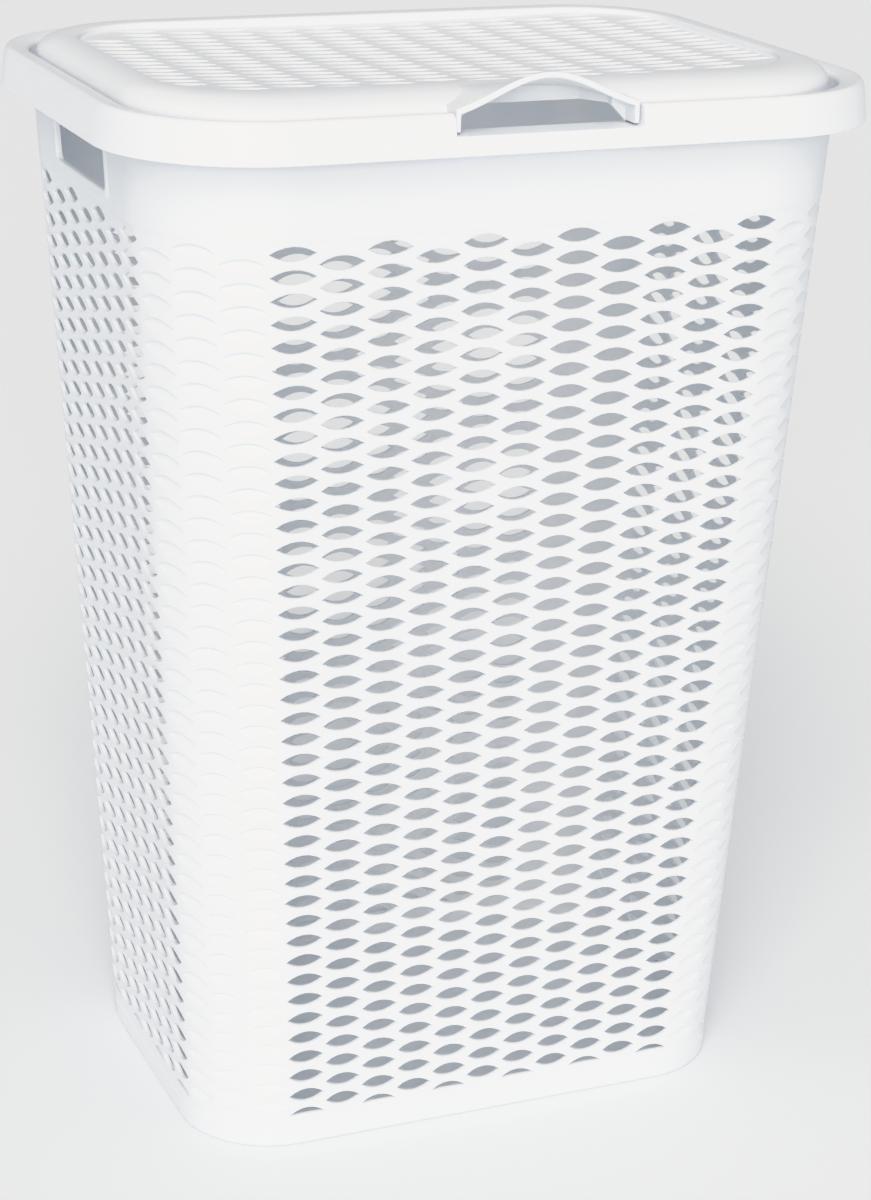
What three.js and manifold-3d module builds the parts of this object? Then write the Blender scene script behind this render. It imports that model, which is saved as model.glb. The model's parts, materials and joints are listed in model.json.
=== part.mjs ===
// A tall moulded laundry hamper: a tapered basket, a rim frame that snaps on top of it, and a lid
// that hinges on the back of the frame. Millimetres, +Z up, +Y to the back, origin under the middle.
import * as THREE from 'three';
import { mergeVertices } from 'three/addons/utils/BufferGeometryUtils.js';
import Module from 'manifold-3d';

const wasm = await Module();
wasm.setup();

// ---- Driving dimensions -------------------------------------------------------------------------
const BASE = { w: 338, d: 236, r: 54.5 };        // basket outline on the ground
const SHOULDER = { w: 414.5, d: 312, r: 73 };    // basket outline level with the frame's lower edge
const SKIRT = { w: 450, d: 346, r: 85 };         // frame outline at its lower edge
const LID_EDGE = { w: 414, d: 309, r: 78 };      // lid outline where it drops into the frame
const LID_CREST = { w: 384, d: 254, r: 58, cy: 1 };
const RECESS = { w: 372, d: 238, r: 56, cy: 2 }; // sunken grille in the lid

const WALL = 2.4;                // moulded wall thickness
const FIT = 0.3;                 // gap between pieces that touch
const CORNER_STEPS = 8;          // facets round each corner

const SKIRT_Z = 589;             // lower edge of the frame
const LEDGE_Z = 599.6;           // shelf that the lid rests on, also the sill of the front notch
const FRAME_TOP_Z = 611.5;
const CREST_Z = 619.3;           // highest line of the lid's border
const GRILLE_Z = 614.5;          // top face of the sunken grille
const GRILLE_THICK = 2.5;
const BASKET_TOP_Z = LEDGE_Z - 2.6 - FIT;

const FLOOR_RAISE = 3;           // the middle of the floor stands clear of the ground
const FOOT_WIDTH = 20;           // flat ring that the basket stands on
const BAND_HEIGHT = 13;          // plain band round the bottom
const BAND_PROUD = 0.8;

const HAND_HOLE = { width: 96, z0: 555.5, z1: 587.5, r: 5 };
const HAND_LIP = { width: 5, proud: 1.1 };

const NOTCH_HALF = 54;           // front notch in the frame, under the lid's pull
const HOOD = { half: 52.7, front: -168, rise: 17.6, foot: 601, thick: 2.8 };
const POCKET = { frontHalf: 50, backHalf: 36, cornerY: -158, back: -137, lower: 609.8 };

const HINGE = { x: 95, y: 163, z: 606.5, barrel: 4.2, length: 24, pin: 2.5, bore: 2.9 };
const HINGE_GAP = 0.6;
const WEB = 3;                   // hinge webs and notch end walls

// ---- Rounded rectangles -------------------------------------------------------------------------
const mix = (a, b, t) => a + (b - a) * t;

function ring(outline, z, inset = 0) {
  return {
    w: outline.w - 2 * inset,
    d: outline.d - 2 * inset,
    r: outline.r - inset,
    cy: outline.cy ?? 0,
    z,
  };
}

function between(a, b, t) {
  return {
    w: mix(a.w, b.w, t),
    d: mix(a.d, b.d, t),
    r: mix(a.r, b.r, t),
    cy: mix(a.cy ?? 0, b.cy ?? 0, t),
  };
}

const onAxis = (z) => ({ w: 0, d: 0, r: 0, cy: 0, z });

// The basket's outer outline at height z, from the ground to its top edge.
const basketAt = (z, inset = 0) => ring(between(BASE, SHOULDER, z / SKIRT_Z), z, inset);

function pointOnRing(shape, station) {
  const perCorner = CORNER_STEPS + 1;
  const corner = Math.floor(station / perCorner);
  const angle = (corner + (station % perCorner) / CORNER_STEPS) * Math.PI / 2;
  const sx = corner === 0 || corner === 3 ? 1 : -1;
  const sy = corner < 2 ? 1 : -1;
  const x = sx * (shape.w / 2 - shape.r) + shape.r * Math.cos(angle);
  const y = sy * (shape.d / 2 - shape.r) + shape.r * Math.sin(angle);
  return [x, y + shape.cy];
}

// A lathe whose turns are rounded rectangles. The profile is a list of rings, traced anticlockwise;
// one that doesn't start on the axis closes on itself.
function roundedLathe(rings) {
  const profile = rings[0].w === 0 ? rings : [...rings, rings[0]];
  const stations = 4 * (CORNER_STEPS + 1);
  const radii = profile.map((shape) => new THREE.Vector2(shape.w / 2, shape.z));
  const geometry = new THREE.LatheGeometry(radii, stations);
  const { position } = geometry.attributes;
  for (let i = 0; i <= stations; i += 1) {
    profile.forEach((shape, j) => {
      const [x, y] = pointOnRing(shape, i % stations);
      position.setXYZ(i * profile.length + j, x, y, shape.z);
    });
  }
  return geometry;
}

// ---- Solids -------------------------------------------------------------------------------------
function solid(geometry) {
  geometry.deleteAttribute('normal');
  geometry.deleteAttribute('uv');
  const merged = mergeVertices(geometry, 1e-4);
  const index = merged.index.array;
  const triangles = [];
  for (let i = 0; i < index.length; i += 3) {
    const [a, b, c] = [index[i], index[i + 1], index[i + 2]];
    if (a !== b && b !== c && c !== a) triangles.push(a, b, c);
  }
  return new wasm.Manifold(new wasm.Mesh({
    numProp: 3,
    vertProperties: Float32Array.from(merged.attributes.position.array),
    triVerts: Uint32Array.from(triangles),
  }));
}

function box(x0, x1, y0, y1, z0, z1) {
  const geometry = new THREE.BoxGeometry(x1 - x0, y1 - y0, z1 - z0);
  geometry.translate((x0 + x1) / 2, (y0 + y1) / 2, (z0 + z1) / 2);
  return solid(geometry);
}

// A round bar along X.
function bar(radius, length, x, y, z) {
  const geometry = new THREE.CylinderGeometry(radius, radius, length, 20);
  geometry.rotateZ(Math.PI / 2);
  geometry.translate(x, y, z);
  return solid(geometry);
}

// A rounded rectangle in the YZ plane, extruded along X.
function sidePlate(width, z0, z1, radius, x0, x1) {
  const half = width / 2;
  const shape = new THREE.Shape();
  shape.moveTo(half, z0 + radius);
  shape.lineTo(half, z1 - radius);
  shape.absarc(half - radius, z1 - radius, radius, 0, Math.PI / 2);
  shape.absarc(radius - half, z1 - radius, radius, Math.PI / 2, Math.PI);
  shape.absarc(radius - half, z0 + radius, radius, Math.PI, Math.PI * 1.5);
  shape.absarc(half - radius, z0 + radius, radius, Math.PI * 1.5, Math.PI * 2);
  const depth = x1 - x0;
  const geometry = new THREE.ExtrudeGeometry(shape, { depth, bevelEnabled: false, curveSegments: 4 });
  geometry.applyMatrix4(new THREE.Matrix4().makeBasis(
    new THREE.Vector3(0, 1, 0), new THREE.Vector3(0, 0, 1), new THREE.Vector3(1, 0, 0),
  ));
  geometry.translate(x0, 0, 0);
  return solid(geometry);
}

function join(first, ...others) {
  return others.reduce((whole, piece) => whole.add(piece), first);
}

function cut(first, ...others) {
  return others.reduce((whole, piece) => whole.subtract(piece), first);
}

// ---- Basket -------------------------------------------------------------------------------------
function basketShell() {
  const footEdge = 2.5;
  return solid(roundedLathe([
    onAxis(FLOOR_RAISE),
    ring(BASE, FLOOR_RAISE, FOOT_WIDTH + FLOOR_RAISE),
    ring(BASE, 0, FOOT_WIDTH),
    basketAt(0, footEdge),
    basketAt(0.8, 0.8 - BAND_PROUD),
    basketAt(footEdge, -BAND_PROUD),
    basketAt(BAND_HEIGHT - BAND_PROUD, -BAND_PROUD),
    basketAt(BAND_HEIGHT, 0),
    basketAt(BASKET_TOP_Z, 0),
    basketAt(BASKET_TOP_Z, WALL),
    basketAt(FLOOR_RAISE + WALL + 4, WALL),
    basketAt(FLOOR_RAISE + WALL, WALL + 4),
    onAxis(FLOOR_RAISE + WALL),
  ]));
}

// The lip round a hand-hole follows the wall, a little proud of it.
function handLip(side) {
  const { width, z0, z1, r } = HAND_HOLE;
  const around = HAND_LIP.width;
  const reach = SHOULDER.w / 2;
  const [low, high] = [z0 - around, z1 + around / 2];
  const plate = sidePlate(width + 2 * around, low, high, r + around / 2, reach - 30, reach + 10);
  const skin = solid(roundedLathe([
    basketAt(z0 - 20, -HAND_LIP.proud),
    basketAt(BASKET_TOP_Z, -HAND_LIP.proud),
    basketAt(BASKET_TOP_Z, WALL),
    basketAt(z0 - 20, WALL),
  ]));
  const lip = plate.intersect(skin);
  return side > 0 ? lip : lip.rotate([0, 0, 180]);
}

function basket() {
  const { width, z0, z1, r } = HAND_HOLE;
  const reach = SHOULDER.w / 2 + 20;
  const shell = join(basketShell(), handLip(1), handLip(-1));
  return cut(shell, sidePlate(width, z0, z1, r, -reach, reach));
}

// ---- Rim frame ----------------------------------------------------------------------------------
const LEDGE_UNDER_Z = LEDGE_Z - 2.6;
const GAP_WALL = { w: 417.6, d: 313.6, r: 70 };  // inner wall of the frame, round the lid
const FLANGE = { w: 409.8, d: 307.2, r: 70.9 };  // plug that drops inside the basket
const FLANGE_DROP = 6;

const BEAD_OUTSIDE = [
  ring(SKIRT, SKIRT_Z),
  ring(SKIRT, FRAME_TOP_Z - 4.5, 2.2),
  ring(SKIRT, FRAME_TOP_Z - 1.4, 3.1),
  ring(SKIRT, FRAME_TOP_Z, 5),
  ring(SKIRT, FRAME_TOP_Z - 0.3, 9),
  ring(SKIRT, FRAME_TOP_Z - 1.3, 13),
  ring(GAP_WALL, FRAME_TOP_Z - 2.6, -0.6),
  ring(GAP_WALL, FRAME_TOP_Z - 4.2),
];

function frameRing() {
  return solid(roundedLathe([
    ...BEAD_OUTSIDE,
    ring(GAP_WALL, LEDGE_Z),
    ring(FLANGE, LEDGE_Z, WALL),
    ring(FLANGE, LEDGE_UNDER_Z - FLANGE_DROP, WALL),
    ring(FLANGE, LEDGE_UNDER_Z - FLANGE_DROP, 0.4),
    ring(FLANGE, LEDGE_UNDER_Z),
    ring(GAP_WALL, LEDGE_UNDER_Z, -WALL),
    ring(GAP_WALL, FRAME_TOP_Z - 4.6, -WALL),
    ring(SKIRT, FRAME_TOP_Z - 3, 12),
    ring(SKIRT, FRAME_TOP_Z - 2.6, 6),
    ring(SKIRT, FRAME_TOP_Z - 5, 2.2 + WALL),
    ring(SKIRT, SKIRT_Z, WALL),
  ]));
}

// The bead as if it were filled, which trims the ribs inside it.
function filledBead() {
  return solid(roundedLathe([
    ring(SKIRT, LEDGE_UNDER_Z, 1.2),
    ...BEAD_OUTSIDE.slice(1),
    ring(GAP_WALL, LEDGE_UNDER_Z),
  ]));
}

const FRONT_Y = -SKIRT.d / 2;
const GAP_WALL_Y = GAP_WALL.d / 2;

function notchRibs() {
  const inner = -GAP_WALL_Y;
  const sill = box(-NOTCH_HALF - WEB, NOTCH_HALF + WEB, FRONT_Y, inner, LEDGE_UNDER_Z, LEDGE_Z);
  const endWall = (x) => box(x, x + WEB, FRONT_Y, inner, LEDGE_UNDER_Z, FRAME_TOP_Z);
  return join(sill, endWall(NOTCH_HALF), endWall(-NOTCH_HALF - WEB));
}

function notchCut() {
  return box(-NOTCH_HALF, NOTCH_HALF, FRONT_Y - 5, -GAP_WALL_Y + 1, LEDGE_Z, FRAME_TOP_Z + 5);
}

const POCKET_HALF = HINGE.length / 2 + HINGE_GAP;
const POCKET_BACK = SKIRT.d / 2 - 2.2 - WALL;

function hingeRibs(x) {
  const [left, right] = [x - POCKET_HALF - WEB, x + POCKET_HALF];
  const back = POCKET_BACK + 1;
  const floor = box(left, right + WEB, GAP_WALL_Y, back, LEDGE_UNDER_Z, LEDGE_Z);
  const web = (from) => box(from, from + WEB, GAP_WALL_Y, back, LEDGE_UNDER_Z, FRAME_TOP_Z);
  return join(floor, web(left), web(right));
}

function hingeCut(x) {
  const [left, right] = [x - POCKET_HALF, x + POCKET_HALF];
  const pocket = box(left, right, GAP_WALL_Y - 1, POCKET_BACK, LEDGE_Z, FRAME_TOP_Z + 5);
  const bore = bar(HINGE.bore, HINGE.length + 2 * HINGE_GAP + 2 * WEB + 2, x, HINGE.y, HINGE.z);
  return pocket.add(bore);
}

function rimFrame() {
  const ribs = join(notchRibs(), hingeRibs(HINGE.x), hingeRibs(-HINGE.x)).intersect(filledBead());
  return cut(frameRing().add(ribs), notchCut(), hingeCut(HINGE.x), hingeCut(-HINGE.x));
}

// ---- Lid ----------------------------------------------------------------------------------------
const EDGE_BOTTOM_Z = LEDGE_Z + FIT;
const EDGE_TOP_Z = 609.2;
const BORDER_STEPS = 6;

// The crowned border: a quarter ellipse from the lid's edge up to its crest, offset by `depth`.
function borderCurve(depth) {
  const rings = [];
  for (let i = 0; i <= BORDER_STEPS; i += 1) {
    const angle = (i / BORDER_STEPS) * Math.PI / 2;
    const outline = between(LID_EDGE, LID_CREST, 1 - Math.cos(angle));
    rings.push(ring(outline, mix(EDGE_TOP_Z, CREST_Z, Math.sin(angle)) - depth, depth * Math.cos(angle)));
  }
  return rings;
}

function lidShell() {
  return solid(roundedLathe([
    onAxis(GRILLE_Z - GRILLE_THICK),
    ring(RECESS, GRILLE_Z - GRILLE_THICK, -1.8),
    ring(RECESS, CREST_Z - WALL, -1.8),
    ...borderCurve(WALL).reverse(),
    ring(LID_EDGE, EDGE_BOTTOM_Z, WALL),
    ring(LID_EDGE, EDGE_BOTTOM_Z),
    ...borderCurve(0),
    ring(RECESS, CREST_Z - 0.2, -1),
    ring(RECESS, CREST_Z - 1.2),
    ring(RECESS, GRILLE_Z, 0.3),
    onAxis(GRILLE_Z),
  ]));
}

// Rise of the pull's arch across its width, 1 in the middle and 0 at its feet.
function archRise(x, half) {
  const t = Math.min(Math.abs(x) / half, 1);
  return 0.5 * Math.cos(t * Math.PI / 2) + 0.25 * (1 + Math.cos(t * Math.PI));
}

// An arch in the XZ plane, extruded backwards and sunk towards the crest as it goes.
function archBlock(half, base, spring, rise, front, back, backTop) {
  const steps = 16;
  const shape = new THREE.Shape();
  shape.moveTo(-half, base);
  shape.lineTo(half, base);
  for (let i = steps; i >= 0; i -= 1) {
    const x = mix(-half, half, i / steps);
    shape.lineTo(x, spring + rise * archRise(x, half));
  }
  const geometry = new THREE.ExtrudeGeometry(shape, { depth: back - front, bevelEnabled: false });
  const { position } = geometry.attributes;
  for (let i = 0; i < position.count; i += 1) {
    const [x, z, along] = [position.getX(i), position.getY(i), position.getZ(i)];
    const y = back - along;
    const t = along > 0 ? 0 : 1;
    const top = z > base + 1e-3 ? mix(z, Math.min(z, backTop), t) : z;
    position.setXYZ(i, x, y, top);
  }
  return solid(geometry);
}

const HOOD_BACK = LID_CREST.cy - LID_CREST.d / 2;
const HOOD_SPRING = FRAME_TOP_Z + 1.7;           // level where the arch leaves its feet

// The pull from outside, open below the border behind the lid's edge and behind the finger pocket.
function pullHood() {
  const { half, foot, rise, front } = HOOD;
  const block = archBlock(half, foot, HOOD_SPRING, rise, front, HOOD_BACK, CREST_Z - FIT);
  const reach = half + 1;
  const end = HOOD_BACK + 1;
  const edgeInside = -LID_EDGE.d / 2 + WALL;
  const under = box(-reach, reach, edgeInside, end, foot - 1, POCKET.lower);
  const inside = POCKET.frontHalf;
  const behind = box(-inside, inside, POCKET.back + WALL, end, foot, CREST_Z - WALL);
  return cut(block, under, behind);
}

// Where the fingers go: a pocket that narrows towards its rear wall, under the arch.
function fingerPocket() {
  const shape = new THREE.Shape();
  shape.moveTo(-POCKET.frontHalf, HOOD.front - 5);
  shape.lineTo(POCKET.frontHalf, HOOD.front - 5);
  shape.lineTo(POCKET.frontHalf, POCKET.cornerY);
  shape.lineTo(POCKET.backHalf, POCKET.back);
  shape.lineTo(-POCKET.backHalf, POCKET.back);
  shape.lineTo(-POCKET.frontHalf, POCKET.cornerY);
  const geometry = new THREE.ExtrudeGeometry(shape, { depth: 60, bevelEnabled: false });
  geometry.translate(0, 0, EDGE_BOTTOM_Z - 20);
  const spring = HOOD_SPRING - HOOD.thick;
  const under = archBlock(POCKET.frontHalf, HOOD.foot - 20, spring, HOOD.rise - 0.6, HOOD.front - 6,
    HOOD_BACK + 4, CREST_Z - HOOD.thick);
  return solid(geometry).intersect(under);
}

function knuckle(x) {
  const half = HINGE.length / 2;
  const arm = box(x - half, x + half, LID_EDGE.d / 2 - 1, HINGE.y, HINGE.z - 3, HINGE.z + 2.6);
  const barrel = bar(HINGE.barrel, HINGE.length, x, HINGE.y, HINGE.z);
  const pins = bar(HINGE.pin, HINGE.length + 2 * HINGE_GAP + 2 * (WEB - 0.4), x, HINGE.y, HINGE.z);
  return join(arm, barrel, pins);
}

function lid() {
  const panel = cut(lidShell().add(pullHood()), fingerPocket());
  return join(panel, knuckle(HINGE.x), knuckle(-HINGE.x));
}

// ---- Scene --------------------------------------------------------------------------------------
function node(name, piece, color, roughness) {
  const mesh = piece.getMesh();
  const geometry = new THREE.BufferGeometry();
  geometry.setAttribute('position', new THREE.BufferAttribute(mesh.vertProperties, 3));
  geometry.setIndex(new THREE.BufferAttribute(mesh.triVerts, 1));
  geometry.computeVertexNormals();
  const material = new THREE.MeshStandardMaterial({ color, roughness, metalness: 0 });
  const object = new THREE.Mesh(geometry, material);
  object.name = name;
  return object;
}

const hamper = new THREE.Group();
hamper.add(node('basket_body', basket(), 0xf2f4f6, 0.4));
hamper.add(node('rim_frame', rimFrame(), 0xf2f4f6, 0.35));
hamper.add(node('lid_panel', lid(), 0xeef0f3, 0.35));

export default hamper;
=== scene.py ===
"""A white moulded laundry hamper with a hinged lid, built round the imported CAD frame.

Lengths are in millimetres until a mesh is made. X is to the right, Y to the back, Z up.
"""
import json
import math

import bmesh
import bpy
import numpy as np
from mathutils import Matrix, Vector
from mathutils.geometry import delaunay_2d_cdt

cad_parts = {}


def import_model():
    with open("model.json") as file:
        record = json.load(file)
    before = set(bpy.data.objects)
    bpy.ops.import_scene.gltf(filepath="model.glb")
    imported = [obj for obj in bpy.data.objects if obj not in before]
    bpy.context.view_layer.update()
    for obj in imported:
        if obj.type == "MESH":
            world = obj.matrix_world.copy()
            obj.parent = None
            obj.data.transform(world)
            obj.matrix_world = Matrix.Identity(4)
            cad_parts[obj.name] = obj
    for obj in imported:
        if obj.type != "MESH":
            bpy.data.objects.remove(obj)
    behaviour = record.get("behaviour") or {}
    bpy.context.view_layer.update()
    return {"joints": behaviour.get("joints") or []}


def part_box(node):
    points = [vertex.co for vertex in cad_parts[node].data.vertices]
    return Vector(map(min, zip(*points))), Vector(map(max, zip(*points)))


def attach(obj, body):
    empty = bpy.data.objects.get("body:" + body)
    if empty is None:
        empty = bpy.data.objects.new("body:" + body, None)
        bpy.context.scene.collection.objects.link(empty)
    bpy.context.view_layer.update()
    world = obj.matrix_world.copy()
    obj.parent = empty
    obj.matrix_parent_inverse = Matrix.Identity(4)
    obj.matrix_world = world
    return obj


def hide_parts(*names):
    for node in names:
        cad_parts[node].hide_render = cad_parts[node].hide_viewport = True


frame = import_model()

MM = 0.001
WELD = 0.002                              # points closer than about this are one point
SHARP_DEGREES = 50                        # edges sharper than this stay sharp in the shading


def box_mm(node):
    """Lowest and highest corner of a CAD node in millimetres."""
    return [np.array(corner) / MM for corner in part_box(node)]


RIM_LOW, RIM_HIGH = box_mm("rim_frame")
LID_LOW, LID_HIGH = box_mm("lid_panel")
BASKET_TOP_Z = box_mm("basket_body")[1][2]
HINGE_AT = np.array(next(j for j in frame["joints"] if j["name"] == "lid_hinge")["pos_m"]) / MM

# ---- Driving dimensions ---------------------------------------------------------------------------
WALL = 2.4                                # moulded wall thickness
BASE = np.array([338.0, 236.0, 54.5])     # basket on the ground: width, depth, corner radius
SHOULDER = np.array([414.5, 312.0, 73.0])  # basket level with the rim's lower edge
SHOULDER_Z = RIM_LOW[2]

COLUMNS = 48                              # lens columns round the basket
ROW_PITCH = 12.66
ROWS = 41
FIRST_ROW_Z = 26.1                        # centre of the lowest lens of an even column
ARC_STEPS = 6                             # segments along one side of a lens
LENS = {"half": 0.482, "rise": 4.0}       # half length in columns, half height
LENS_BEVEL = {"half": 0.497, "rise": 4.6, "depth": 0.6}
# A dimple is deep under its upper side, shallow along its lower side, and its upper edge stands proud.
DIMPLE = {"half": 0.45, "rise": 2.7, "fall": 3.6, "deep": 2.15, "shallow": 0.6, "brow": 0.3}
FRONT_REACH = 5                           # columns of holes either side of a face's middle
SIDE_REACH = 3

COLLAR_PROUD = 0.35                       # step from the lattice out to the plain wall above it
BAND_Z = 13.0                             # top of the band round the foot
BAND_PROUD = 0.8
LATTICE_FOOT_Z = 18.5                     # plain wall below the lattice ends here
FLOOR_RAISE = 3.0
FOOT_WIDTH = 20.0

HAND_HALF, HAND_Z0, HAND_Z1, HAND_R = 48.0, 555.5, 587.5, 5.0
HAND_CELL = 2.5                           # half width, in columns, of the plate round a hand-hole
HAND_CELL_Z = (549.0, 593.0)
HAND_LIP_REACH = 2.6                      # the lip is cut short above the hole, under the rim

LEDGE_Z = LID_LOW[2] - 0.3                # shelf in the rim, under the lid's edge
LEDGE_UNDER_Z = LEDGE_Z - 2.6
RIM_TOP_Z = RIM_HIGH[2]
NOTCH_HALF = 54.0
POCKET_X, POCKET_HALF = 95.0, 12.6        # hinge pockets
WEB = 3.0

CREST_Z = 619.3
LID_EDGE_TOP_Z = 609.2
GRILLE_THICK = 2.5
GRILLE_COLUMNS = 13
GRILLE_ROWS = 12                          # rows tried either side of the middle
GRILLE_MARGIN = 2.0                       # least gap from a hole to the recess wall
GRILLE_PITCH = 28.3
GRILLE_LENS = {"half": 12.6, "rise": 3.9}
GRILLE_BEVEL = 0.5

HOOD_HALF, HOOD_RISE, HOOD_FOOT_Z, HOOD_THICK = 52.7, 17.6, 601.0, 2.8
HOOD_FRONT = LID_LOW[1]
HOOD_SPRING_Z = RIM_TOP_Z + 1.7
FINGER_FRONT, FINGER_THROAT, FINGER_BACK = 50.0, 42.0, 31.5   # half widths of the finger pocket
FINGER_WALL_Y, FINGER_THROAT_Y, FINGER_BACK_Y = -155.0, -152.0, -136.5
FINGER_LOW_Z = 609.8                      # lower edge of the pocket's rear and slanting walls
FINGER_CUT_Z = HOOD_FOOT_Z - 20           # the pocket's cuts start well below the lid

BARREL_R, BARREL_LENGTH, PIN_R, BORE_R = 4.2, 24.0, 2.5, 2.9
TURN_STEPS = 32


# ---- Mesh building --------------------------------------------------------------------------------
class Skin:
    """Gathers faces with their own corner points, and welds them when the object is made."""

    def __init__(self):
        self.points = []
        self.faces = []
        self.count = 0

    def add(self, points, faces):
        points = np.asarray(points, float).reshape(-1, 3)
        self.points.append(points)
        self.faces.extend([[self.count + i for i in face] for face in faces])
        self.count += len(points)

    def grid(self, points, close_rows=False, close_columns=False):
        """Quads over points shaped (rows, columns, 3)."""
        rows, columns = points.shape[:2]
        faces = []
        for i in range(rows if close_rows else rows - 1):
            for j in range(columns if close_columns else columns - 1):
                right, up = (j + 1) % columns, (i + 1) % rows
                faces.append([i * columns + j, i * columns + right, up * columns + right, up * columns + j])
        self.add(points, faces)

    def make(self, name):
        """A linked object of the gathered faces, its points merged and its normals facing out."""
        points = np.concatenate(self.points)
        keys = np.round(points / WELD).astype(np.int64)
        _, first, index = np.unique(keys, axis=0, return_index=True, return_inverse=True)
        index = index.ravel()
        faces = []
        for face in self.faces:
            welded = [int(index[i]) for i in face]
            welded = [v for i, v in enumerate(welded) if v != welded[i - 1]]
            if len(welded) > 2:
                faces.append(welded)
        mesh = bpy.data.meshes.new(name)
        mesh.from_pydata((points[first] * MM).tolist(), [], faces)
        work = bmesh.new()
        work.from_mesh(mesh)
        bmesh.ops.recalc_face_normals(work, faces=work.faces)
        work.to_mesh(mesh)
        work.free()
        piece = bpy.data.objects.new(name, mesh)
        bpy.context.scene.collection.objects.link(piece)
        return piece


def prism(name, near, far):
    """A solid between two outlines with the same number of points."""
    skin = Skin()
    skin.grid(np.array([near, far]), close_columns=True)
    skin.add(near, [range(len(near))])
    skin.add(far, [range(len(far))])
    return skin.make(name)


def combine(piece, other, operation):
    """Joins other to piece, or cuts it away, and removes other."""
    step = piece.modifiers.new(operation, "BOOLEAN")
    step.operation = operation
    step.solver = "MANIFOLD"
    step.object = other
    bpy.context.view_layer.update()
    ready = piece.evaluated_get(bpy.context.evaluated_depsgraph_get())
    mesh = bpy.data.meshes.new_from_object(ready)
    piece.modifiers.remove(step)
    old = piece.data
    piece.data = mesh
    bpy.data.meshes.remove(old)
    bpy.data.objects.remove(other)


def finish_piece(piece, body, node, material):
    """Smooth shading that keeps flat faces flat, then the piece's body, CAD node and finish."""
    piece.data.shade_smooth()
    piece.data.set_sharp_from_angle(angle=math.radians(SHARP_DEGREES))
    normals = piece.modifiers.new("even_normals", "WEIGHTED_NORMAL")
    normals.keep_sharp = True
    piece.data.materials.clear()
    piece.data.materials.append(material)
    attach(piece, body)
    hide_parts(node)


# ---- Basket ---------------------------------------------------------------------------------------
def wall_point(s, z, depth):
    """Point on the basket wall, s columns anticlockwise from the front middle, depth under its face."""
    s, z, depth = np.broadcast_arrays(np.asarray(s, float), z, depth)
    share = (z / SHOULDER_Z)[..., None]
    width, length, radius = np.moveaxis(BASE + (SHOULDER - BASE) * share, -1, 0)
    quarter = COLUMNS / 4
    turn = np.floor(s / quarter).astype(int)
    part = s - turn * quarter
    turn %= 4
    part = np.where(turn % 2 == 0, part, quarter - part)
    front, side, arc = width / 2 - radius, length / 2 - radius, radius * math.pi / 2
    run = part / quarter * (front + side + arc)
    angle = np.clip((run - front) / radius, 0, math.pi / 2)
    right, back = np.sin(angle), np.cos(angle)
    x = np.minimum(run, front) + (radius - depth) * right
    y = side + (radius - depth) * back - np.maximum(run - front - arc, 0)
    x_sign = np.where(turn < 2, 1, -1)
    y_sign = np.where((turn == 0) | (turn == 3), -1, 1)
    return np.stack([x * x_sign, y * y_sign, z], -1)


def pitch_at(z):
    """Distance between columns along the wall at height z."""
    width, length, radius = BASE + (SHOULDER - BASE) * z / SHOULDER_Z
    return (2 * (width + length) - (8 - 2 * math.pi) * radius) / COLUMNS


def corner_columns(column):
    """Whether a column is blind, on a corner, and whether its cells bend with the wall."""
    from_front = min(column % (COLUMNS // 2), -column % (COLUMNS // 2))
    from_side = COLUMNS // 4 - from_front
    blind = from_front > FRONT_REACH and from_side > SIDE_REACH
    curved = blind or (from_front >= FRONT_REACH and from_side >= SIDE_REACH)
    return blind, curved


class Cell:
    """One lattice cell, in columns and millimetres from its middle, as points and faces."""

    def __init__(self, low, high, split_top, split_bottom):
        self.points = []
        self.faces = []
        self.low, self.high = low, high
        self.split_top, self.split_bottom = split_top, split_bottom

    def put(self, s, z, depth):
        """Adds a point and returns its number."""
        self.points.append((s, z, depth))
        return len(self.points) - 1

    def edge(self, z, split, depth):
        steps = ARC_STEPS if split else 1
        return [self.put(i / steps - 0.5, z, depth) for i in range(steps + 1)]

    def frame(self, depth):
        """The cell's outer edge: top, bottom, and the middles of its sides."""
        top = self.edge(self.high, self.split_top, depth)
        bottom = self.edge(self.low, self.split_bottom, depth)
        return top, bottom, self.put(-0.5, 0, depth), self.put(0.5, 0, depth)

    def loop(self, half, up, down, depth):
        """A lens outline: upper side from left to right, then the lower side back."""
        turn = [2 * i / ARC_STEPS - 1 for i in range(ARC_STEPS + 1)]
        upper = [self.put(half * t, up * (1 - t * t), depth) for t in turn]
        lower = [self.put(half * t, -down * (1 - t * t), depth) for t in turn[1:-1]]
        return upper, [upper[0], *lower, upper[-1]]

    def strip(self, a, b):
        """Faces between two chains of points."""
        if len(a) == len(b):
            self.faces += [[a[i], a[i + 1], b[i + 1], b[i]] for i in range(len(a) - 1)]
        else:
            self.faces.append([*a, *reversed(b)])

    def plate(self, upper, lower, depth):
        """The flat face round a lens."""
        top, bottom, left, right = self.frame(depth)
        self.strip(top, upper)
        self.strip(bottom, lower)
        self.faces += [[top[0], upper[0], left], [left, upper[0], bottom[0]]]
        self.faces += [[top[-1], upper[-1], right], [right, upper[-1], bottom[-1]]]

    def plain(self, depth):
        """The flat face of a cell without a lens."""
        top, bottom, left, right = self.frame(depth)
        for i in range(ARC_STEPS):
            face = [top[i], top[i + 1], bottom[i + 1], bottom[i]]
            if i == ARC_STEPS - 1:
                face.insert(2, right)
            if i == 0:
                face.append(left)
            self.faces.append(face)


def lens_outline(cell, down):
    """The lens's edge in the wall's face, with the face round it. Its lower half is scaled by down."""
    below = down * LENS_BEVEL["rise"] + (1 - down) * LENS_BEVEL["depth"]
    outside = cell.loop(LENS_BEVEL["half"], LENS_BEVEL["rise"], below, 0)
    cell.plate(*outside, 0)
    return outside


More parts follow.
